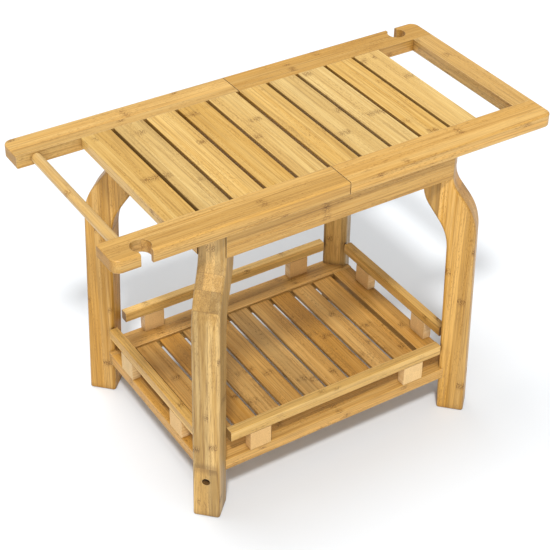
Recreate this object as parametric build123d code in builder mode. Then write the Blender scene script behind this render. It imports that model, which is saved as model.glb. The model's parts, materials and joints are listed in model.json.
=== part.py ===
from build123d import *
import os
from math import cos, radians, sin, sqrt, tan

# Two-tier bamboo shower bench, in millimetres.
# +X runs along the length, -Y is the front, +Z is up, and the floor is Z = 0.
# The origin is under the middle of the bench.

# Seat
seat_height = 450
seat_length = 650
seat_depth = 308
seat_thickness = 18
seat_rail_width = 44
end_rail_width = 33
plan_radius = 12
edge_radius = 2
seam_gap = 1
slat_width = 42
slat_thickness = 14
slat_gap = 5
slats_per_half = 5
tenon_length = 10
tenon_thickness = 8
tenon_shoulder = 6
rod_radius = 7
rod_depth = 10
rod_inset = 27
keyhole_radius = 13
keyhole_neck = 16
keyhole_inset = 43
keyhole_from_edge = 16

# Legs: planks set at 45 degrees, swept inwards at the top in an S.
# Below the sweep they lean, with their feet further out than their knees.
leg_centre_x = 203
leg_centre_y = 150
leg_width = 36.5
leg_depth = 38.5
leg_radius = 4
leg_lean = 1.8
leg_shift = 45.25
outer_bend_height = 305
outer_bend_radii = (90, 40)
outer_bend_angle = 36
inner_bend_height = 280
inner_bend_radii = (85, 60)
inner_bend_angle = 33
foot_chamfer = 0.5

# Foot pads
pad_radius = 12
pad_height = 3
foot_gap = 0.6

# Aprons and corner braces
apron_height = 39
apron_thickness = 15
brace_thickness = 18
brace_height = 28
brace_housing = 4
brace_drop = 5

# Lower shelf
shelf_top = 74
shelf_half_x = 209
shelf_half_y = 154
shelf_thickness = 18
shelf_board_width = 37
shelf_end_width = 33.5
shelf_housing = 6
shelf_slats = 9
shelf_slat_pitch = 38.4
shelf_slat_width = 33
shelf_slat_thickness = 5
shelf_slat_recess = 3
shelf_tenon_thickness = 3
shelf_end_tenon = 7

# Guard rails on blocks around the shelf
block_length = 32
block_height = 29
block_offset_x = 126
block_offset_y = 70
guard_height = 16
guard_width = 13
guard_half_x = 172
guard_half_y = 120
guard_radius = 1.5
dowel_radius = 3
dowel_bite = 9

# Fasteners
seat_screw_x = (-150, -40, 40, 150)
seat_screw_radius = 2
seat_screw_head = (4, 3)
seat_screw_length = 35
seat_screw_bore = (4.5, 16)
bolt_radius = 3
bolt_head = (5, 5)
bolt_bore = (5.5, 14)
bore_lead = 1
bolt_clearance = 0.2
bolt_socket = (2.9, 3)
shelf_bolt_bite = 22
shelf_bolt_drop = 4
corner_bolt_bite = 22
bolt_hex_segments = 6

# Worked out from the above
seat_under = seat_height - seat_thickness
seat_half = seat_length / 2
rail_inner = seat_depth / 2 - seat_rail_width
rail_middle = seat_depth / 2 - seat_rail_width / 2
slat_pitch = slat_width + slat_gap
seat_middle = seat_height - seat_thickness / 2
slat_middle = seat_height - slat_thickness / 2
leg_inner = -leg_depth / 2
leg_top_outer = leg_depth / 2 - leg_shift
leg_top_inner = leg_inner - leg_shift
diagonal_reach = leg_centre_x + leg_centre_y
leg_side = leg_width / 2 * sqrt(2)
apron_under = seat_under - apron_height
apron_face_y = leg_centre_y + (leg_top_outer * sqrt(2) + leg_side) / 2
apron_face_x = leg_centre_x + (leg_top_outer * sqrt(2) + leg_side) / 2
apron_middle_y = apron_face_y - apron_thickness / 2
shelf_under = shelf_top - shelf_thickness
shelf_middle = shelf_top - shelf_thickness / 2
shelf_bolt_height = shelf_middle - shelf_bolt_drop
shelf_inner_y = shelf_half_y - shelf_board_width
shelf_slat_middle = shelf_top - shelf_slat_recess - shelf_slat_thickness / 2
brace_middle = seat_under - brace_drop - brace_height / 2
guard_under = shelf_top + block_height
corners = {
    "front_left": (-1, -1),
    "front_right": (1, -1),
    "rear_left": (-1, 1),
    "rear_right": (1, 1),
}

os.makedirs("parts", exist_ok=True)


def save(piece, name):
    piece.part.label = name
    export_step(piece.part, f"parts/{name}.step")


def left_slat_x(number):
    """Middle of a seat slat in the left half, counted from the left."""
    from_seam = slats_per_half - number
    return -slat_gap - slat_width / 2 - from_seam * slat_pitch


def right_slat_x(number):
    """Middle of a seat slat in the right half, counted from the seam."""
    return seam_gap / 2 + slat_width / 2 + (number - 1) * slat_pitch


def half_slats(side):
    slat_x = left_slat_x if side < 0 else right_slat_x
    return [slat_x(number) for number in range(1, slats_per_half + 1)]


def shelf_slat_x(number):
    return (number - (shelf_slats + 1) / 2) * shelf_slat_pitch


def upright_plane(side_x, side_y):
    """The vertical diagonal plane of a leg: local X points outwards, local Y up."""
    outward = Vector(side_x, side_y, 0)
    origin = (side_x * leg_centre_x, side_y * leg_centre_y, 0)
    return Plane(origin=origin, x_dir=outward, z_dir=outward.cross(Vector(0, 0, 1)))


def facing_plane(side_x, side_y, reach, height, facing):
    """A plane square to the diagonal, reach out from the leg's middle."""
    outward = Vector(side_x, side_y, 0).normalized()
    origin = Vector(side_x * leg_centre_x, side_y * leg_centre_y, height) + outward * reach
    return Plane(origin=origin, x_dir=(0, 0, 1), z_dir=outward * facing)


def brace_corners(side_x, side_y):
    """Plan of a corner brace, let into the inner faces of two aprons."""
    along_y = apron_face_y - apron_thickness + brace_housing
    along_x = apron_face_x - apron_thickness + brace_housing
    near = diagonal_reach + leg_top_inner * sqrt(2)
    far = near - brace_thickness * sqrt(2)
    outline = [
        (near - along_y, along_y),
        (far - along_y, along_y),
        (along_x, far - along_x),
        (along_x, near - along_x),
    ]
    return [(side_x * x, side_y * y) for x, y in outline]


def make_seat_rail(name, side_x, side_y):
    inner_end = seam_gap / 2
    rail_length = seat_half - inner_end
    middle_x = side_x * (inner_end + rail_length / 2)
    screw_xs = [x for x in seat_screw_x if x * side_x > 0]
    with BuildPart() as rail:
        with BuildSketch(Plane.XY.offset(seat_under)):
            with Locations((middle_x, side_y * rail_middle)):
                Rectangle(rail_length, seat_rail_width)
            free_end = vertices().sort_by(lambda v: v.X * side_x)[-2:]
            fillet(free_end.sort_by(lambda v: v.Y * side_y)[-1], plan_radius)
        extrude(amount=seat_thickness)
        level = rail.faces().filter_by(Axis.Z).edges()
        outside = level.filter_by(lambda e: abs(e.center().Y) > rail_inner + 1)
        fillet(outside.filter_by(lambda e: abs(e.center().X) > 1), edge_radius)
        with Locations(*[(x, side_y * rail_inner, slat_middle) for x in half_slats(side_x)]):
            Box(slat_width - 2 * tenon_shoulder, 2 * tenon_length, tenon_thickness, mode=Mode.SUBTRACT)
        with Locations(*[(x, side_y * apron_middle_y, seat_under) for x in screw_xs]):
            screw_bite = seat_screw_length + seat_screw_bore[1] - apron_height
            Cylinder(seat_screw_radius, 2 * screw_bite, mode=Mode.SUBTRACT)
        if side_x < 0:
            with BuildSketch(Plane.XZ.offset(-side_y * rail_inner)):
                with Locations((-seat_half + rod_inset, seat_middle)):
                    Circle(rod_radius)
            extrude(amount=-side_y * rod_depth, mode=Mode.SUBTRACT)
        else:
            with Locations((seat_half - end_rail_width / 2, side_y * rail_inner, seat_middle)):
                Box(end_rail_width - 2 * tenon_shoulder, 2 * tenon_length, tenon_thickness,
                    mode=Mode.SUBTRACT)
        if side_x == side_y:
            keyhole_x = side_x * (seat_half - keyhole_inset)
            keyhole_y = side_y * (seat_depth / 2 - keyhole_from_edge)
            with BuildSketch(Plane.XY.offset(seat_under)):
                with Locations((keyhole_x, keyhole_y)):
                    Circle(keyhole_radius)
                with Locations((keyhole_x, side_y * seat_depth / 2)):
                    Rectangle(keyhole_neck, 2 * keyhole_from_edge)
            extrude(amount=seat_thickness, mode=Mode.SUBTRACT)
    save(rail, name)


def make_end_rail():
    with BuildPart() as rail:
        with Locations((seat_half - end_rail_width / 2, 0, seat_middle)):
            Box(end_rail_width, 2 * rail_inner, seat_thickness)
            outer_edges = edges().filter_by(Axis.Y).group_by(Axis.X)[-1]
            fillet(outer_edges, edge_radius)
            Box(end_rail_width - 2 * tenon_shoulder, 2 * (rail_inner + tenon_length), tenon_thickness)
    save(rail, "seat_end_rail")


def make_slat(name, middle_x, middle_z, width, thickness, half_length, tenon):
    """A slat along Y with a tenon at each end, its top edges eased."""
    with BuildPart() as slat:
        with Locations((middle_x, 0, middle_z)):
            Box(width, 2 * half_length, thickness)
            fillet(edges().filter_by(Axis.Y).group_by(Axis.Z)[-1], 1)
            Box(width - 2 * tenon_shoulder, 2 * (half_length + tenon_length), tenon)
    save(slat, name)


def make_towel_rod():
    with BuildPart() as rod:
        with Locations((-seat_half + rod_inset, 0, seat_middle)):
            Cylinder(rod_radius, 2 * (rail_inner + rod_depth), rotation=(90, 0, 0))
    save(rod, "towel_rod")


def leg_edge(side, bend_height, radii, angle, top_x):
    """One edge of a leg's outline, from the foot to the seat: a leaning straight, an arc
    inwards, a slope, and an arc back to vertical. Returns its lowest and highest points.

    side is the edge's distance from the leg's middle at the height of the shelf.
    """
    slant = tan(radians(leg_lean))
    foot = (side + slant * (shelf_middle - foot_gap), foot_gap)
    knee = (side - slant * (bend_height - shelf_middle), bend_height)
    low = Line(foot, knee)
    bend_in = JernArc(low @ 1, low % 1, radii[0], angle - leg_lean)
    arcs_in = radii[0] * (cos(radians(leg_lean)) - cos(radians(angle)))
    arcs_out = radii[1] * (1 - cos(radians(angle)))
    slope_length = (knee[0] - top_x - arcs_in - arcs_out) / sin(radians(angle))
    slope = PolarLine(bend_in @ 1, slope_length, 90 + angle)
    bend_out = JernArc(slope @ 1, slope % 1, radii[1], -angle)
    top = Line(bend_out @ 1, ((bend_out @ 1).X, seat_under))
    return low @ 0, top @ 1


def pad_place(side_x, side_y):
    """The middle of a foot, which the lean carries out along the diagonal."""
    out = tan(radians(leg_lean)) * shelf_middle / sqrt(2)
    return side_x * (leg_centre_x + out), side_y * (leg_centre_y + out)


def make_leg(name, side_x, side_y):
    half = leg_depth / 2
    with BuildPart() as leg:
        with BuildSketch(upright_plane(side_x, side_y)):
            with BuildLine():
                outer = leg_edge(half, outer_bend_height, outer_bend_radii, outer_bend_angle,
                                 leg_top_outer)
                inner = leg_edge(-half, inner_bend_height, inner_bend_radii, inner_bend_angle,
                                 leg_top_inner)
                Line(outer[0], inner[0])
                Line(outer[1], inner[1])
            make_face()
        extrude(amount=leg_width / 2, both=True)
        sides = leg.faces().filter_by(Axis((0, 0, 0), upright_plane(side_x, side_y).z_dir))
        long_edges = sides.edges().filter_by(lambda e: e.bounding_box().size.Z > 1)
        fillet(long_edges, leg_radius)
        chamfer(leg.faces().sort_by(Axis.Z)[0].edges(), foot_chamfer)
        with BuildSketch(upright_plane(side_x, side_y)):
            with Locations((leg_inner, shelf_middle)):
                Rectangle(2 * shelf_housing, shelf_thickness)
        extrude(amount=leg_width, both=True, mode=Mode.SUBTRACT)
        with Locations(facing_plane(side_x, side_y, half + bore_lead, shelf_bolt_height, 1)):
            CounterBoreHole(bolt_radius + bolt_clearance, bolt_bore[0], bolt_bore[1] + bore_lead,
                            leg_depth + bore_lead)
        with Locations(facing_plane(side_x, side_y, leg_top_inner, brace_middle, -1)):
            Hole(bolt_radius, corner_bolt_bite)
        with Locations((*pad_place(side_x, side_y), foot_gap)):
            Cylinder(pad_radius, 2 * (pad_height - foot_gap), mode=Mode.SUBTRACT)
    save(leg, name)


def make_foot_pads():
    with BuildPart() as pads:
        for side_x, side_y in corners.values():
            with Locations((*pad_place(side_x, side_y), pad_height / 2)):
                Cylinder(pad_radius, pad_height)
    save(pads, "foot_pads")


def make_apron(name, face, run, faces_y, side):
    """An apron board with mitred ends that lie against the legs' side faces.

    face is the distance out to its outer face and run is half that face's length.
    """
    back = face - apron_thickness
    short_run = run - apron_thickness
    outline = [(-run, face), (run, face), (short_run, back), (-short_run, back)]
    plan = [(x, side * y) if faces_y else (side * y, x) for x, y in outline]
    with BuildPart() as apron:
        with BuildSketch(Plane.XY.offset(apron_under)):
            with BuildLine():
                Polyline(*plan, close=True)
            make_face()
        extrude(amount=apron_height)
        outer_axis = Axis.Y if faces_y else Axis.X
        outer_face = apron.faces().sort_by(outer_axis)[-1 if side > 0 else 0]
        fillet(outer_face.edges().sort_by(Axis.Z)[0], edge_radius)
        for side_x, side_y in corners.values():
            with BuildSketch(Plane.XY.offset(brace_middle)):
                with BuildLine():
                    Polyline(*brace_corners(side_x, side_y), close=True)
                make_face()
            extrude(amount=brace_height / 2, both=True, mode=Mode.SUBTRACT)
        if faces_y:
            with Locations(*[(x, side * apron_middle_y, apron_under) for x in seat_screw_x]):
                Cylinder(seat_screw_radius, 3 * apron_height, mode=Mode.SUBTRACT)
                Cylinder(seat_screw_bore[0], 2 * seat_screw_bore[1], mode=Mode.SUBTRACT)
    save(apron, name)


def make_brace(name, side_x, side_y):
    with BuildPart() as brace:
        with BuildSketch(Plane.XY.offset(brace_middle)):
            with BuildLine():
                Polyline(*brace_corners(side_x, side_y), close=True)
            make_face()
        extrude(amount=brace_height / 2, both=True)
        with Locations(facing_plane(side_x, side_y, leg_top_inner, brace_middle, 1)):
            Hole(bolt_radius + bolt_clearance)
    save(brace, name)


def make_shelf_long_board(name, side):
    """A front or rear shelf board, its outer corners cut to sit in the legs."""
    cut = diagonal_reach + (leg_inner + shelf_housing) * sqrt(2)
    outline = [
        (shelf_half_x, shelf_inner_y),
        (shelf_half_x, cut - shelf_half_x),
        (cut - shelf_half_y, shelf_half_y),
    ]
    right = [(x, side * y) for x, y in outline]
    left = [(-x, y) for x, y in reversed(right)]
    slat_xs = [shelf_slat_x(number) for number in range(1, shelf_slats + 1)]
    end_x = shelf_half_x - shelf_end_width / 2
    with BuildPart() as board:
        with BuildSketch(Plane.XY.offset(shelf_under)):
            with BuildLine():
                Polyline(*right, *left, close=True)
            make_face()
        extrude(amount=shelf_thickness)
        outer_face = board.faces().sort_by(Axis.Y)[-1 if side > 0 else 0]
        fillet(outer_face.edges().filter_by(Axis.X), edge_radius)
        with Locations(*[(x, side * shelf_inner_y, shelf_slat_middle) for x in slat_xs]):
            Box(shelf_slat_width - 2 * tenon_shoulder, 2 * tenon_length, shelf_tenon_thickness,
                mode=Mode.SUBTRACT)
        with Locations(*[(x, side * shelf_inner_y, shelf_middle) for x in (-end_x, end_x)]):
            Box(shelf_end_width - 2 * tenon_shoulder, 2 * shelf_end_tenon, tenon_thickness,
                mode=Mode.SUBTRACT)
        block_y = side * (shelf_half_y - guard_width / 2)
        with Locations(*[(x, block_y, shelf_top) for x in (-block_offset_x, block_offset_x)]):
            Cylinder(dowel_radius, 2 * dowel_bite, mode=Mode.SUBTRACT)
        for side_x in (-1, 1):
            seat = facing_plane(side_x, side, leg_inner + shelf_housing, shelf_bolt_height, 1)
            with Locations(seat):
                Hole(bolt_radius, shelf_bolt_bite)
    save(board, name)


def make_shelf_end_board(name, side):
    middle_x = side * (shelf_half_x - shelf_end_width / 2)
    block_x = side * (shelf_half_x - guard_width / 2)
    with BuildPart() as board:
        with Locations((middle_x, 0, shelf_middle)):
            Box(shelf_end_width, 2 * shelf_inner_y, shelf_thickness)
        outer = edges().filter_by(Axis.Y).group_by(Axis.X)[-1 if side > 0 else 0]
        fillet(outer, edge_radius)
        with Locations((middle_x, 0, shelf_middle)):
            Box(shelf_end_width - 2 * tenon_shoulder, 2 * (shelf_inner_y + shelf_end_tenon),
                tenon_thickness)
        with Locations(*[(block_x, y, shelf_top) for y in (-block_offset_y, block_offset_y)]):
            Cylinder(dowel_radius, 2 * dowel_bite, mode=Mode.SUBTRACT)
    save(board, name)


def guard_places():
    """The two block positions on each side of the shelf."""
    middle_y = shelf_half_y - guard_width / 2
    middle_x = shelf_half_x - guard_width / 2
    return {
        "front": [(offset, -middle_y) for offset in (-block_offset_x, block_offset_x)],
        "rear": [(offset, middle_y) for offset in (-block_offset_x, block_offset_x)],
        "left": [(-middle_x, offset) for offset in (-block_offset_y, block_offset_y)],
        "right": [(middle_x, offset) for offset in (-block_offset_y, block_offset_y)],
    }


def make_guard(side, places):
    """A guard rail on one side of the shelf and the two blocks that carry it."""
    along_x = side in ("front", "rear")
    block_size = (block_length, guard_width) if along_x else (guard_width, block_length)
    half = guard_half_x if along_x else guard_half_y
    rail_size = (2 * half, guard_width) if along_x else (guard_width, 2 * half)
    middle = (0, places[0][1]) if along_x else (places[0][0], 0)
    for number, (x, y) in enumerate(places, start=1):
        with BuildPart() as block:
            with Locations((x, y, shelf_top + block_height / 2)):
                Box(*block_size, block_height)
                Cylinder(dowel_radius, block_height, mode=Mode.SUBTRACT)
        save(block, f"guard_block_{side}_{number}")
    with BuildPart() as rail:
        with Locations((*middle, guard_under + guard_height / 2)):
            Box(*rail_size, guard_height)
        fillet(edges().filter_by(Axis.X if along_x else Axis.Y), guard_radius)
        with Locations(*[(x, y, guard_under) for x, y in places]):
            Cylinder(dowel_radius, 2 * dowel_bite, mode=Mode.SUBTRACT)
    save(rail, f"guard_rail_{side}")


def make_guard_dowels():
    length = block_height + 2 * dowel_bite
    with BuildPart() as dowels:
        for places in guard_places().values():
            with Locations(*[(x, y, shelf_top + block_height / 2) for x, y in places]):
                Cylinder(dowel_radius, length)
    save(dowels, "guard_dowels")


def make_seat_screws():
    head_radius, head_height = seat_screw_head
    head_seat = apron_under + seat_screw_bore[1]
    spots = [(x, side * apron_middle_y) for x in seat_screw_x for side in (-1, 1)]
    with BuildPart() as screws:
        with BuildSketch(Plane.XY.offset(head_seat)):
            with Locations(*spots):
                Circle(seat_screw_radius)
        extrude(amount=seat_screw_length)
        with BuildSketch(Plane.XY.offset(head_seat)):
            with Locations(*spots):
                Circle(head_radius)
        extrude(amount=-head_height)
        with BuildSketch(Plane.XY.offset(head_seat - head_height)):
            with Locations(*spots):
                Rectangle(head_radius, head_radius / 4)
                Rectangle(head_radius / 4, head_radius)
        extrude(amount=head_height / 2, mode=Mode.SUBTRACT)
    save(screws, "seat_screws")


def make_diagonal_bolts(name, reach, height, facing, length):
    """Four socket bolts along the diagonals, heads seated at reach, facing outwards or inwards."""
    with BuildPart() as bolts:
        for side_x, side_y in corners.values():
            seat = facing_plane(side_x, side_y, reach, height, facing)
            with BuildSketch(seat):
                Circle(bolt_radius)
            extrude(amount=-length)
            with BuildSketch(seat):
                Circle(bolt_head[0])
            extrude(amount=bolt_head[1])
            with BuildSketch(seat.offset(bolt_head[1])):
                RegularPolygon(bolt_socket[0], bolt_hex_segments)
            extrude(amount=-bolt_socket[1], mode=Mode.SUBTRACT)
    save(bolts, name)


for corner, (side_x, side_y) in corners.items():
    make_seat_rail(f"seat_rail_{corner}", side_x, side_y)
    make_leg(f"leg_{corner}", side_x, side_y)
    make_brace(f"corner_brace_{corner}", side_x, side_y)

for number in range(1, slats_per_half + 1):
    slat_shape = (slat_middle, slat_width, slat_thickness, rail_inner, tenon_thickness)
    make_slat(f"seat_slat_left_{number}", left_slat_x(number), *slat_shape)
    make_slat(f"seat_slat_right_{number}", right_slat_x(number), *slat_shape)

make_end_rail()
make_towel_rod()

make_apron("apron_front", apron_face_y, apron_face_x - leg_side, True, -1)
make_apron("apron_rear", apron_face_y, apron_face_x - leg_side, True, 1)
make_apron("apron_left", apron_face_x, apron_face_y - leg_side, False, -1)
make_apron("apron_right", apron_face_x, apron_face_y - leg_side, False, 1)

make_shelf_long_board("shelf_board_front", -1)
make_shelf_long_board("shelf_board_rear", 1)
make_shelf_end_board("shelf_board_left", -1)
make_shelf_end_board("shelf_board_right", 1)
for number in range(1, shelf_slats + 1):
    make_slat(
        f"shelf_slat_{number}", shelf_slat_x(number), shelf_slat_middle, shelf_slat_width,
        shelf_slat_thickness, shelf_inner_y, shelf_tenon_thickness,
    )

for side, places in guard_places().items():
    make_guard(side, places)

make_guard_dowels()
make_foot_pads()
make_seat_screws()
make_diagonal_bolts(
    "shelf_bolts", leg_depth / 2 - bolt_bore[1], shelf_bolt_height, 1,
    leg_depth - bolt_bore[1] - shelf_housing + shelf_bolt_bite,
)
make_diagonal_bolts(
    "corner_bolts", leg_top_inner - brace_thickness, brace_middle, -1,
    brace_thickness + corner_bolt_bite,
)
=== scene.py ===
import json
from math import cos, radians, sin

import bpy
from mathutils import Matrix, Vector


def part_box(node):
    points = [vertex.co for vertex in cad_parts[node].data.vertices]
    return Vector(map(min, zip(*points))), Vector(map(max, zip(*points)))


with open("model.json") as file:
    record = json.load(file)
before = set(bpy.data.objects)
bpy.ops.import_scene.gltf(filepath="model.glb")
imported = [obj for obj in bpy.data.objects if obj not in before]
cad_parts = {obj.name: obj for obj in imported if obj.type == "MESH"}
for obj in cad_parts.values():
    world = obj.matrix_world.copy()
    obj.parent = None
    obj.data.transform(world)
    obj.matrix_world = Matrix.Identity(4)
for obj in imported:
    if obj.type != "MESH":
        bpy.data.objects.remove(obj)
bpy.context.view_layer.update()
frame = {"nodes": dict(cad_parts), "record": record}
nodes = frame["nodes"]

# Lengths are in metres and angles in degrees. +X runs along the seat from the towel rod to the
# hand slot, -Y is the front and +Z is up.

# Camera
camera_place = (-0.8909, -1.3597, 1.4166)
camera_azimuth = -33.12
camera_elevation = 36.54
camera_roll = 1.12
camera_lens = 95.29
camera_shift_x = -0.0051

# Light: a broad one from overhead and a little behind, a crisper key high at the front left, a
# very soft low one from the front, and the world
top_from = (-0.12, 0.30, 1)
top_strength = 1.15
top_spread = 26
key_from = (-0.36, -0.52, 1)
key_strength = 2.1
key_spread = 7
front_from = (-0.48, -0.82, 0.32)
front_strength = 1.0
front_spread = 40
world_strength = 0.46
floor_half = 30
floor_colour = (0.75, 0.775, 0.80, 1)
floor_roughness = 0.8

# Bamboo fibre: how long and how wide each kind of mark is
streak_size = (0.28, 0.0075)
grain_size = (0.16, 0.0019)
line_size = (0.045, 0.0008)
fleck_size = (0.0048, 0.0009)
crowd_size = (0.12, 0.010)
pore_size = (0.003, 0.0009)
dash_size = (0.0024, 0.0010)

# Bamboo growth nodes, and the glue between strips and layers as shares of their thickness
node_spacing = 0.235
node_length = 0.0095
halo_length = 4 * node_length
ragged_width = 0.004
ragged_depth = 0.010
cluster_width = 0.012
node_shift = 5
seam_share = 0.014
glue_share = 0.03
seam_wander = 0.0012
seam_wander_scale = 3

# Edges, eased and painted paler as a highlight, and painted shade in crevices
edge_ease = 0.0011
edge_samples = 4
painted_shade_reach = 0.020
painted_shade_samples = 6

# The values between which each feature goes from none to full
streak_range = (0.36, 0.64)
warm_strip_range = (0.35, 0.9)
dark_grain_range = (0.48, 0.68)
pale_grain_range = (0.46, 0.28)
line_range = (0.48, 0.70)
fleck_range = (0.56, 0.66)
crowd_range = (0.40, 0.66)
cluster_range = (0.36, 0.56)
dash_range = (0.42, 0.54)
pore_range = (0.50, 0.62)
end_range = (0.75, 0.95)
slant_range = (0.12, 0.55)
# Painted highlight along eased edges, from none to full
edge_range = (0.985, 0.80)
# Painted shade in crevices and under overhangs, from none to full
painted_shade_range = (0.82, 0.25)

# How far each feature takes the colour towards its own where it is full
warm_strip_tint = 0.75
dark_grain_tint = 0.36
pale_grain_tint = 0.34
line_tint = 0.34
halo_tint = 0.10
dash_tint = 0.85
seam_tint = 0.34
glue_tint = 0.40
slant_tint = 0.25
slant_pore_tint = 0.34
end_pore_tint = 0.35
# Painted highlight: how far eased edges are taken towards the highlight colour
edge_highlight_tint = 0.55
# Painted shade: how far crevices and overhung places are taken towards the dark colour
painted_shade_tint = 0.84
# The colour of the painted highlight on edges
edge_highlight_colour = (0.84, 0.64, 0.34, 1)

# What one step of warmth does to hue and saturation
warmth_hue = 0.004
warmth_saturation = 0.06

# How much each feature changes the roughness and the relief
line_roughness = 0.12
fleck_roughness = 0.10
end_roughness = 0.14
edge_polish = 0.08
line_height = 0.35
fleck_depth = 0.6
seam_depth = 0.7
node_height = 0.35
relief_strength = 0.35
relief_depth = 0.0003
coat_weight = 0.12
coat_roughness = 0.28
wood_specular = 0.42

# Multiples of and steps from a piece's seed that keep its random numbers apart
strip_seed = 3.7
layer_seed = 1.3
fibre_seed = 7
hue_seed = 5
shift_seed = 11
cluster_seed = 3

X, Y, Z = Vector((1, 0, 0)), Vector((0, 1, 0)), Vector((0, 0, 1))


class Tree:
    """A node tree written as expressions, one call for each node."""

    def __init__(self, tree):
        self.tree = tree

    def node(self, kind, values=(), **settings):
        made = self.tree.nodes.new(kind)
        for key, value in settings.items():
            setattr(made, key, value)
        for key, value in dict(values).items():
            self.set(made.inputs[key], value)
        return made

    def set(self, socket, value):
        if isinstance(value, bpy.types.NodeSocket):
            self.tree.links.new(value, socket)
        else:
            socket.default_value = value

    def math(self, operation, *values):
        made = self.tree.nodes.new("ShaderNodeMath")
        made.operation = operation
        for socket, value in zip(made.inputs, values):
            self.set(socket, value)
        return made.outputs[0]

    def dot(self, a, b):
        made = self.node("ShaderNodeVectorMath", {0: a, 1: b}, operation="DOT_PRODUCT")
        return made.outputs["Value"]

    def subtract(self, a, b):
        made = self.node("ShaderNodeVectorMath", {0: a, 1: b}, operation="SUBTRACT")
        return made.outputs["Vector"]

    def join(self, x, y, z):
        return self.node("ShaderNodeCombineXYZ", {0: x, 1: y, 2: z}).outputs[0]

    def noise(self, vector, scale, detail=2, rough=0.5):
        values = {"Vector": vector, "Scale": scale, "Detail": detail, "Roughness": rough}
        return self.node("ShaderNodeTexNoise", values).outputs["Fac"]

    def random(self, vector):
        """A random number that is the same wherever the vector is the same."""
        made = self.node("ShaderNodeTexWhiteNoise", {"Vector": vector})
        return made.outputs["Value"]

    def ramp(self, value, none, full):
        """0 up to none and 1 from full on, eased between. none may be above full."""
        values = {"Value": value, "From Min": none, "From Max": full}
        made = self.node(
            "ShaderNodeMapRange", values, interpolation_type="SMOOTHSTEP", clamp=True
        )
        return made.outputs["Result"]

    def mix(self, share, a, b):
        made = self.node("ShaderNodeMix", data_type="RGBA")
        self.set(made.inputs["Factor"], share)
        self.set([s for s in made.inputs if s.name == "A" and s.type == "RGBA"][0], a)
        self.set([s for s in made.inputs if s.name == "B" and s.type == "RGBA"][0], b)
        return [s for s in made.outputs if s.type == "RGBA"][0]

    def tint(self, colour, other, mask, share):
        """colour, taken towards other by share where mask is 1."""
        return self.mix(self.math("MULTIPLY", mask, share), colour, other)

    def piece(self, name):
        """A number or vector kept on the piece itself."""
        return self.node("ShaderNodeAttribute", attribute_type="OBJECT", attribute_name=name)


def new_material(name):
    material = bpy.data.materials.new(name)
    material.use_nodes = True
    material.node_tree.nodes.clear()
    t = Tree(material.node_tree)
    shader = t.node("ShaderNodeBsdfPrincipled")
    output = t.node("ShaderNodeOutputMaterial")
    material.node_tree.links.new(shader.outputs[0], output.inputs[0])
    return material, t, shader


def edge_line(t, value, width):
    """1 within width of a whole number, in shares of one strip, and 0 elsewhere."""
    from_middle = t.math("ABSOLUTE", t.math("SUBTRACT", t.math("FRACT", value), 0.5))
    return t.ramp(from_middle, 0.5 - width, 0.5 - width / 4)


def growth_nodes(t, along, across, layer, seed, strip_shift):
    """Each strip's growth nodes, at heights of their own: a short ragged band and its halo."""
    rings = t.math("DIVIDE", along, node_spacing)
    rings = t.math("ADD", rings, t.math("MULTIPLY", strip_shift, node_shift))
    off_ring = t.math("SUBTRACT", t.math("FRACT", rings), 0.5)
    off_ring = t.math("MULTIPLY", off_ring, node_spacing)
    ragged = t.noise(t.join(t.math("DIVIDE", across, ragged_width), seed, layer), 1, 2)
    ragged = t.math("MULTIPLY", t.math("SUBTRACT", ragged, 0.5), ragged_depth)
    from_ring = t.math("ABSOLUTE", t.math("ADD", off_ring, ragged))
    cluster_place = t.join(t.math("DIVIDE", across, cluster_width), layer,
                           t.math("ADD", seed, cluster_seed))
    cluster = t.ramp(t.noise(cluster_place, 1, 1), *cluster_range)
    ring = t.math("MULTIPLY", t.ramp(from_ring, node_length, 0), cluster)
    halo = t.ramp(from_ring, halo_length, 0)
    return ring, halo


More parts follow.
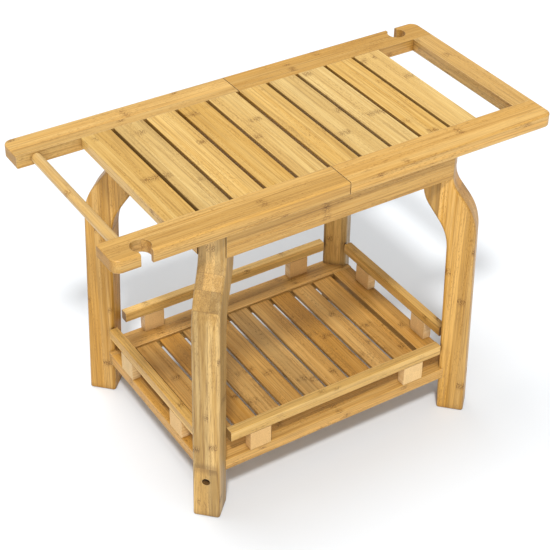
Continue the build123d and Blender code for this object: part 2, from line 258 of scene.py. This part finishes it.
def bamboo(name, pale, warm, dark, gloss, flecks, strip_width, layer_thickness, contrast,
           end_dark):
    """Glued bamboo. Each piece keeps its own grain axes, tone and seed, so no two match."""
    material, t, shader = new_material(name)
    place = t.node("ShaderNodeTexCoord").outputs["Object"]
    facing = t.node("ShaderNodeTexCoord").outputs["Normal"]
    along_axis = t.piece("grain_along").outputs["Vector"]
    across_axis = t.piece("grain_across").outputs["Vector"]
    depth_axis = t.piece("grain_depth").outputs["Vector"]
    seed = t.piece("seed").outputs["Fac"]
    tone = t.piece("tone").outputs["Fac"]
    warmth = t.piece("warmth").outputs["Fac"]
    local = t.subtract(place, t.piece("grain_middle").outputs["Vector"])
    along = t.dot(local, along_axis)
    across = t.dot(local, across_axis)
    depth = t.dot(local, depth_axis)

    def fibres(size, detail=2, rough=0.5):
        """Noise stretched along the grain, for marks of that length and width."""
        length, width = size
        apart = t.math("MULTIPLY", seed, fibre_seed)
        vector = t.join(t.math("DIVIDE", along, length), t.math("DIVIDE", across, width),
                        t.math("ADD", t.math("DIVIDE", depth, width), apart))
        return t.noise(vector, 1, detail, rough)

    # Glued strips and layers, each with random numbers of its own
    wander = t.noise(t.join(along, seed, 0), seam_wander_scale, 1)
    wander = t.math("MULTIPLY", wander, seam_wander)
    strips = t.math("DIVIDE", t.math("ADD", across, wander), strip_width)
    strips = t.math("ADD", strips, t.math("MULTIPLY", seed, strip_seed))
    layers = t.math("DIVIDE", depth, layer_thickness)
    layers = t.math("ADD", layers, t.math("MULTIPLY", seed, layer_seed))
    strip = t.math("FLOOR", strips)
    layer = t.math("FLOOR", layers)
    strip_tone = t.random(t.join(strip, layer, seed))
    strip_hue = t.random(t.join(layer, t.math("ADD", seed, hue_seed), strip))
    strip_shift = t.random(t.join(layer, strip, t.math("ADD", seed, shift_seed)))
    seam = edge_line(t, strips, seam_share)
    glue = edge_line(t, layers, glue_share)
    ring, halo = growth_nodes(t, along, across, layer, seed, strip_shift)

    # Fibre: long streaks, fine lines and the short dark flecks of the vessels, in crowds
    streaks = fibres(streak_size, 3, 0.6)
    grain = fibres(grain_size, 2, 0.6)
    lines = fibres(line_size, 2, 0.6)
    dashes = t.ramp(fibres(dash_size, 1), *dash_range)
    fleck = t.math("MULTIPLY", t.ramp(fibres(fleck_size, 1), *fleck_range),
                   t.ramp(fibres(crowd_size), *crowd_range))

    # How far the surface cuts across the fibres: 0 along them, 1 on end grain
    cut = t.math("ABSOLUTE", t.dot(facing, along_axis))
    end = t.ramp(cut, *end_range)
    slant = t.math("MULTIPLY", t.ramp(cut, *slant_range), t.math("SUBTRACT", 1, end))
    pores = t.ramp(fibres(pore_size, 1), *pore_range)

    # Edges, eased in the shading normal and painted paler as a highlight
    soft = t.node("ShaderNodeBevel", {"Radius": edge_ease}, samples=edge_samples).outputs[0]
    true_normal = t.node("ShaderNodeNewGeometry").outputs["Normal"]
    edge = t.ramp(t.dot(soft, true_normal), *edge_range)

    # Painted shade: the colour is taken darker where ambient occlusion finds other surfaces near,
    # so where pieces meet, in the gaps and under overhangs
    open_share = t.node("ShaderNodeAmbientOcclusion", {"Distance": painted_shade_reach},
                        samples=painted_shade_samples).outputs["AO"]
    painted_shade = t.ramp(open_share, *painted_shade_range)

    # Colour
    colour = t.mix(t.ramp(streaks, *streak_range), pale, warm)
    colour = t.tint(colour, warm, t.ramp(strip_hue, *warm_strip_range), warm_strip_tint)
    colour = t.tint(colour, dark, t.ramp(grain, *dark_grain_range), dark_grain_tint)
    colour = t.tint(colour, pale, t.ramp(grain, *pale_grain_range), pale_grain_tint)
    colour = t.tint(colour, dark, t.ramp(lines, *line_range), line_tint)
    colour = t.tint(colour, warm, halo, halo_tint)
    colour = t.tint(colour, dark, fleck, flecks)
    colour = t.tint(colour, dark, t.math("MULTIPLY", ring, dashes), dash_tint)
    colour = t.tint(colour, dark, seam, seam_tint)
    colour = t.tint(colour, dark, glue, glue_tint)
    colour = t.tint(colour, warm, slant, slant_tint)
    colour = t.tint(colour, dark, t.math("MULTIPLY", slant, pores), slant_pore_tint)
    end_share = t.math("ADD", end_dark, t.math("MULTIPLY", pores, end_pore_tint))
    colour = t.mix(end, colour, t.mix(end_share, warm, dark))
    # Painted highlight: eased edges taken paler
    colour = t.tint(colour, edge_highlight_colour, edge, edge_highlight_tint)
    # Painted shade, darker where ambient occlusion finds surfaces near
    colour = t.tint(colour, dark, painted_shade, painted_shade_tint)
    strip_step = t.math("MULTIPLY", t.math("SUBTRACT", strip_tone, 0.5), contrast)
    adjusted = {
        "Hue": t.math("SUBTRACT", 0.5, t.math("MULTIPLY", warmth, warmth_hue)),
        "Saturation": t.math("ADD", 1, t.math("MULTIPLY", warmth, warmth_saturation)),
        "Value": t.math("ADD", strip_step, tone),
        "Color": colour,
    }
    colour = t.node("ShaderNodeHueSaturation", adjusted).outputs[0]

    # Gloss
    rough = t.math("ADD", gloss, t.math("MULTIPLY", lines, line_roughness))
    rough = t.math("ADD", rough, t.math("MULTIPLY", fleck, fleck_roughness))
    rough = t.math("ADD", rough, t.math("MULTIPLY", end, end_roughness))
    rough = t.math("SUBTRACT", rough, t.math("MULTIPLY", edge, edge_polish))

    # Relief
    height = t.math("MULTIPLY", lines, line_height)
    height = t.math("SUBTRACT", height, t.math("MULTIPLY", fleck, fleck_depth))
    height = t.math("SUBTRACT", height, t.math("MULTIPLY", seam, seam_depth))
    height = t.math("ADD", height, t.math("MULTIPLY", ring, node_height))
    relief = {"Strength": relief_strength, "Distance": relief_depth, "Height": height,
              "Normal": soft}
    t.set(shader.inputs["Base Color"], colour)
    t.set(shader.inputs["Roughness"], rough)
    t.set(shader.inputs["Normal"], t.node("ShaderNodeBump", relief).outputs[0])
    shader.inputs["Coat Weight"].default_value = coat_weight
    shader.inputs["Coat Roughness"].default_value = coat_roughness
    shader.inputs["Specular IOR Level"].default_value = wood_specular
    return material


def mottled(name, bright, dull, patch_scale, patch_range, patch_detail, grain_scale, grain_detail):
    """A plain material in two tones that meet in patches, with a fine grain. Returns the
    material, its tree and shader, and the noise of the patches and of the grain."""
    material, t, shader = new_material(name)
    place = t.node("ShaderNodeTexCoord").outputs["Object"]
    patches = t.noise(place, patch_scale, patch_detail)
    grain = t.noise(place, grain_scale, grain_detail)
    colour = t.mix(t.ramp(patches, *patch_range), bright, dull)
    t.set(shader.inputs["Base Color"], colour)
    return material, t, shader, patches, grain


def finish_mottled(t, shader, roughness, varying, amount, relief):
    """Sets a mottled material's roughness, which varying changes by amount, and its bump."""
    t.set(shader.inputs["Roughness"], t.math("ADD", roughness, t.math("MULTIPLY", varying, amount)))
    t.set(shader.inputs["Normal"], t.node("ShaderNodeBump", relief).outputs[0])


def steel():
    """Zinc-plated steel, with faint turning marks and dull spots."""
    material, t, shader, spots, marks = mottled(
        "bolt_steel", bright=(0.62, 0.62, 0.63, 1), dull=(0.48, 0.48, 0.50, 1), patch_scale=260,
        patch_range=(0.35, 0.7), patch_detail=3, grain_scale=2400, grain_detail=1)
    relief = {"Strength": 0.15, "Distance": 0.0001, "Height": marks}
    finish_mottled(t, shader, roughness=0.24, varying=spots, amount=0.22, relief=relief)
    shader.inputs["Metallic"].default_value = 1
    return material


def rubber():
    """Matt black rubber with a fine moulded grain and patches of dust."""
    material, t, shader, _, grain = mottled(
        "pad_rubber", bright=(0.022, 0.022, 0.023, 1), dull=(0.075, 0.072, 0.068, 1),
        patch_scale=90, patch_range=(0.45, 0.8), patch_detail=3, grain_scale=1800, grain_detail=3)
    relief = {"Strength": 0.3, "Distance": 0.0002, "Height": grain}
    finish_mottled(t, shader, roughness=0.68, varying=grain, amount=0.2, relief=relief)
    return material


def dress(name, material, along, across, seed, tone, warmth):
    """Gives a piece its material and its own grain axes, seed and tones."""
    piece = nodes[name]
    low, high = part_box(name)
    piece["grain_along"] = list(along)
    piece["grain_across"] = list(across)
    piece["grain_depth"] = list(along.cross(across))
    piece["grain_middle"] = list((low + high) / 2)
    piece["seed"] = float(seed)
    piece["tone"] = float(tone)
    piece["warmth"] = float(warmth)
    piece.data.materials.clear()
    piece.data.materials.append(material)


def grain_of(name):
    """The way the fibres run in a piece, and the way its strips lie side by side."""
    if name.startswith("leg_"):
        side_x = 1 if name.endswith("right") else -1
        side_y = 1 if "rear" in name else -1
        return Z, Vector((side_y, -side_x, 0)).normalized()
    if name.startswith(("seat_rail", "shelf_board_front", "shelf_board_rear")):
        return X, Y
    if name in ("apron_front", "apron_rear", "guard_rail_front", "guard_rail_rear"):
        return X, Z
    if name in ("apron_left", "apron_right", "guard_rail_left", "guard_rail_right"):
        return Y, Z
    if name.startswith("guard_block"):
        on_an_end = "left" in name or "right" in name
        return (X, Z) if on_an_end else (Y, Z)
    if name.startswith("corner_brace") or name == "guard_dowels":
        return Z, X
    return Y, X


# Each wood's three colours, roughness, share of flecks, width of strips, thickness of layers,
# contrast between strips and darkness of end grain
wood = {
    "seat_rail_bamboo": {
        "pale": (0.65, 0.415, 0.138, 1), "warm": (0.57, 0.330, 0.088, 1),
        "dark": (0.19, 0.080, 0.011, 1), "gloss": 0.40, "flecks": 0.50,
        "strip_width": 0.0220, "layer_thickness": 0.0060, "contrast": 0.20, "end_dark": 0.38},
    "seat_slat_bamboo": {
        "pale": (0.69, 0.460, 0.152, 1), "warm": (0.59, 0.355, 0.092, 1),
        "dark": (0.20, 0.088, 0.012, 1), "gloss": 0.42, "flecks": 0.50,
        "strip_width": 0.0210, "layer_thickness": 0.0070, "contrast": 0.14, "end_dark": 0.30},
    "rod_bamboo": {
        "pale": (0.68, 0.480, 0.210, 1), "warm": (0.58, 0.375, 0.130, 1),
        "dark": (0.28, 0.140, 0.035, 1), "gloss": 0.38, "flecks": 0.35,
        "strip_width": 0.0200, "layer_thickness": 0.0200, "contrast": 0.06, "end_dark": 0.20},
    "leg_bamboo": {
        "pale": (0.62, 0.390, 0.130, 1), "warm": (0.45, 0.245, 0.050, 1),
        "dark": (0.13, 0.052, 0.008, 1), "gloss": 0.42, "flecks": 0.42,
        "strip_width": 0.0115, "layer_thickness": 0.0125, "contrast": 0.50, "end_dark": 0.30},
    "apron_bamboo": {
        "pale": (0.63, 0.375, 0.105, 1), "warm": (0.54, 0.292, 0.064, 1),
        "dark": (0.17, 0.072, 0.010, 1), "gloss": 0.44, "flecks": 0.50,
        "strip_width": 0.0195, "layer_thickness": 0.0062, "contrast": 0.16, "end_dark": 0.30},
    "shelf_board_bamboo": {
        "pale": (0.64, 0.378, 0.112, 1), "warm": (0.53, 0.286, 0.066, 1),
        "dark": (0.16, 0.068, 0.010, 1), "gloss": 0.44, "flecks": 0.60,
        "strip_width": 0.0185, "layer_thickness": 0.0060, "contrast": 0.18, "end_dark": 0.34},
    "shelf_slat_bamboo": {
        "pale": (0.62, 0.358, 0.100, 1), "warm": (0.51, 0.266, 0.057, 1),
        "dark": (0.15, 0.062, 0.008, 1), "gloss": 0.44, "flecks": 0.60,
        "strip_width": 0.0165, "layer_thickness": 0.0060, "contrast": 0.18, "end_dark": 0.30},
    "guard_bamboo": {
        "pale": (0.70, 0.446, 0.144, 1), "warm": (0.59, 0.345, 0.085, 1),
        "dark": (0.17, 0.076, 0.011, 1), "gloss": 0.42, "flecks": 0.50,
        "strip_width": 0.0075, "layer_thickness": 0.0065, "contrast": 0.20, "end_dark": 0.20},
    "block_bamboo": {
        "pale": (0.78, 0.560, 0.285, 1), "warm": (0.70, 0.455, 0.190, 1),
        "dark": (0.34, 0.180, 0.060, 1), "gloss": 0.48, "flecks": 0.25,
        "strip_width": 0.0160, "layer_thickness": 0.0060, "contrast": 0.08, "end_dark": 0.00},
    "dowel_wood": {
        "pale": (0.60, 0.430, 0.220, 1), "warm": (0.50, 0.330, 0.140, 1),
        "dark": (0.28, 0.150, 0.050, 1), "gloss": 0.55, "flecks": 0.30,
        "strip_width": 0.0200, "layer_thickness": 0.0200, "contrast": 0.06, "end_dark": 0.20},
}
finishes = {slot: bamboo(slot, **look) for slot, look in wood.items()}
finishes["bolt_steel"] = steel()
finishes["pad_rubber"] = rubber()
slot_of = {row["node"]: row["material_slot"] for row in frame["record"]["subparts"]}

# No two neighbours share a tone: each piece takes the next step of two uneven sequences. Warmth
# goes from -1, yellower, to 1, redder, and these pieces have their own.
tone_spread = 0.065
tone_step = 0.618
warmth_step = 0.382
first_warmth = 0.15
own_warmth = {
    "leg_front_right": 1,
    "leg_front_left": -0.6,
    "leg_rear_left": 1,
    "apron_front": 0.2,
    "seat_slat_right_3": -1,
    "seat_slat_right_5": -0.7,
    "seat_rail_front_right": 0.6,
}
for number, name in enumerate(sorted(nodes)):
    along, across = grain_of(name)
    seed = 1 + number * tone_step
    tone = 1 + tone_spread * (2 * ((number * tone_step) % 1) - 1)
    warmth = own_warmth.get(name, 2 * ((number * warmth_step + first_warmth) % 1) - 1)
    slot = slot_of[name]
    dress(name, finishes[slot], along, across, seed, tone, warmth)


def camera():
    data = bpy.data.cameras.new("camera")
    data.lens = camera_lens
    data.shift_x = camera_shift_x
    eye = bpy.data.objects.new("camera", data)
    azimuth, elevation, roll = map(radians, (camera_azimuth, camera_elevation, camera_roll))
    back = Vector((sin(azimuth) * cos(elevation), -cos(azimuth) * cos(elevation), sin(elevation)))
    level_right = Vector((cos(azimuth), sin(azimuth), 0))
    level_up = level_right.cross(-back)
    right = level_right * cos(roll) + level_up * sin(roll)
    up = level_up * cos(roll) - level_right * sin(roll)
    turn = Matrix((right, up, back)).transposed().to_4x4()
    eye.matrix_world = Matrix.Translation(camera_place) @ turn
    bpy.context.scene.collection.objects.link(eye)
    bpy.context.scene.camera = eye


def sun(name, direction, strength, spread):
    """Light from far away along one direction. spread is how wide its source looks, in degrees."""
    data = bpy.data.lights.new(name, "SUN")
    data.energy = strength
    data.angle = radians(spread)
    lamp = bpy.data.objects.new(name, data)
    lamp.rotation_euler = Vector(direction).to_track_quat("Z", "Y").to_euler()
    bpy.context.scene.collection.objects.link(lamp)


def studio():
    sun("top", top_from, top_strength, top_spread)
    sun("key", key_from, key_strength, key_spread)
    sun("front", front_from, front_strength, front_spread)
    world = bpy.data.worlds.new("studio")
    world.use_nodes = True
    background = world.node_tree.nodes["Background"]
    background.inputs["Color"].default_value = (1, 1, 1, 1)
    background.inputs["Strength"].default_value = world_strength
    bpy.context.scene.world = world
    bpy.context.scene.view_settings.view_transform = "Standard"


def make_floor():
    mesh = bpy.data.meshes.new("floor")
    corners = [(-floor_half, -floor_half, 0), (floor_half, -floor_half, 0),
               (floor_half, floor_half, 0), (-floor_half, floor_half, 0)]
    mesh.from_pydata(corners, [], [(0, 1, 2, 3)])
    floor = bpy.data.objects.new("floor", mesh)
    material, _, shader = new_material("floor")
    shader.inputs["Base Color"].default_value = floor_colour
    shader.inputs["Roughness"].default_value = floor_roughness
    mesh.materials.append(material)
    bpy.context.scene.collection.objects.link(floor)


camera()
studio()
make_floor()
